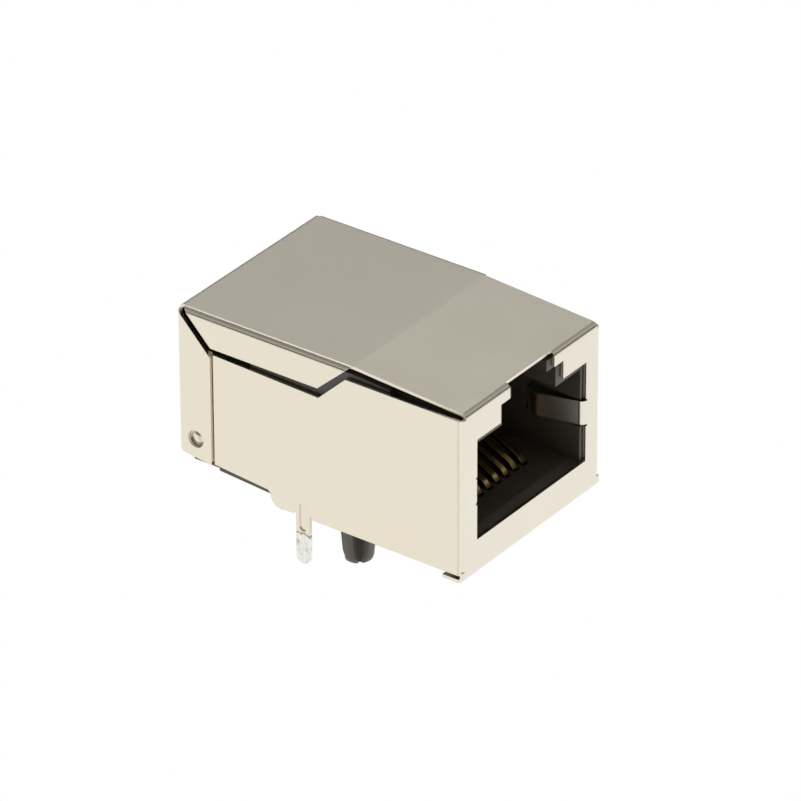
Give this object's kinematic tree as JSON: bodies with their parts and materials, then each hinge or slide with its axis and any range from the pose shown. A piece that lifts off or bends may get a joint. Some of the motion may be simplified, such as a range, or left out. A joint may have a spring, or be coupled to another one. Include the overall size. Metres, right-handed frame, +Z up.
{
  "type": "rj45 board jack",
  "caption": "Shielded board-mounted modular jack with one plug port, built-in network transformers, spring contacts, solder pins, ground tabs and locating pegs.",
  "frame": {"origin": "midway between the two locating pegs, on the board's surface", "axes": "+Z up from the board, +Y the way the plug goes in, +X to the right seen from the port"},
  "size_m": [0.016, 0.024, 0.0167],
  "materials": {
    "nickel_sheet": "satin nickel plating",
    "black_plastic": "moulded, slight sheen",
    "insert_plastic": "moulded",
    "gold_contact": "gold plated",
    "tinned_pin": "tinned",
    "board_laminate": "green lacquered laminate",
    "ferrite": "sintered",
    "enamelled_wire": "enamelled copper",
    "chip_resistor": "glazed",
    "ceramic_capacitor": "fired ceramic"
  },
  "bodies": {
    "root": {"shield": "nickel_sheet", "housing": "black_plastic", "contact_insert": "insert_plastic", "pin_block": "black_plastic", "circuit_board": "board_laminate", "contact_1": "gold_contact", "contact_2": "gold_contact", "contact_3": "gold_contact", "contact_4": "gold_contact", "contact_5": "gold_contact", "contact_6": "gold_contact", "contact_7": "gold_contact", "contact_8": "gold_contact", "signal_pin_1": "tinned_pin", "signal_pin_2": "tinned_pin", "signal_pin_3": "tinned_pin", "signal_pin_4": "tinned_pin", "signal_pin_5": "tinned_pin", "signal_pin_6": "tinned_pin", "signal_pin_7": "tinned_pin", "signal_pin_8": "tinned_pin", "transmit_transformer_core": "ferrite", "transmit_choke_core": "ferrite", "receive_transformer_core": "ferrite", "receive_choke_core": "ferrite", "transmit_transformer_winding": "enamelled_wire", "transmit_choke_winding": "enamelled_wire", "receive_transformer_winding": "enamelled_wire", "receive_choke_winding": "enamelled_wire", "termination_resistor_1": "chip_resistor", "termination_resistor_2": "chip_resistor", "termination_resistor_3": "chip_resistor", "termination_resistor_4": "chip_resistor", "isolation_capacitor": "ceramic_capacitor"}
  },
  "joints": []
}
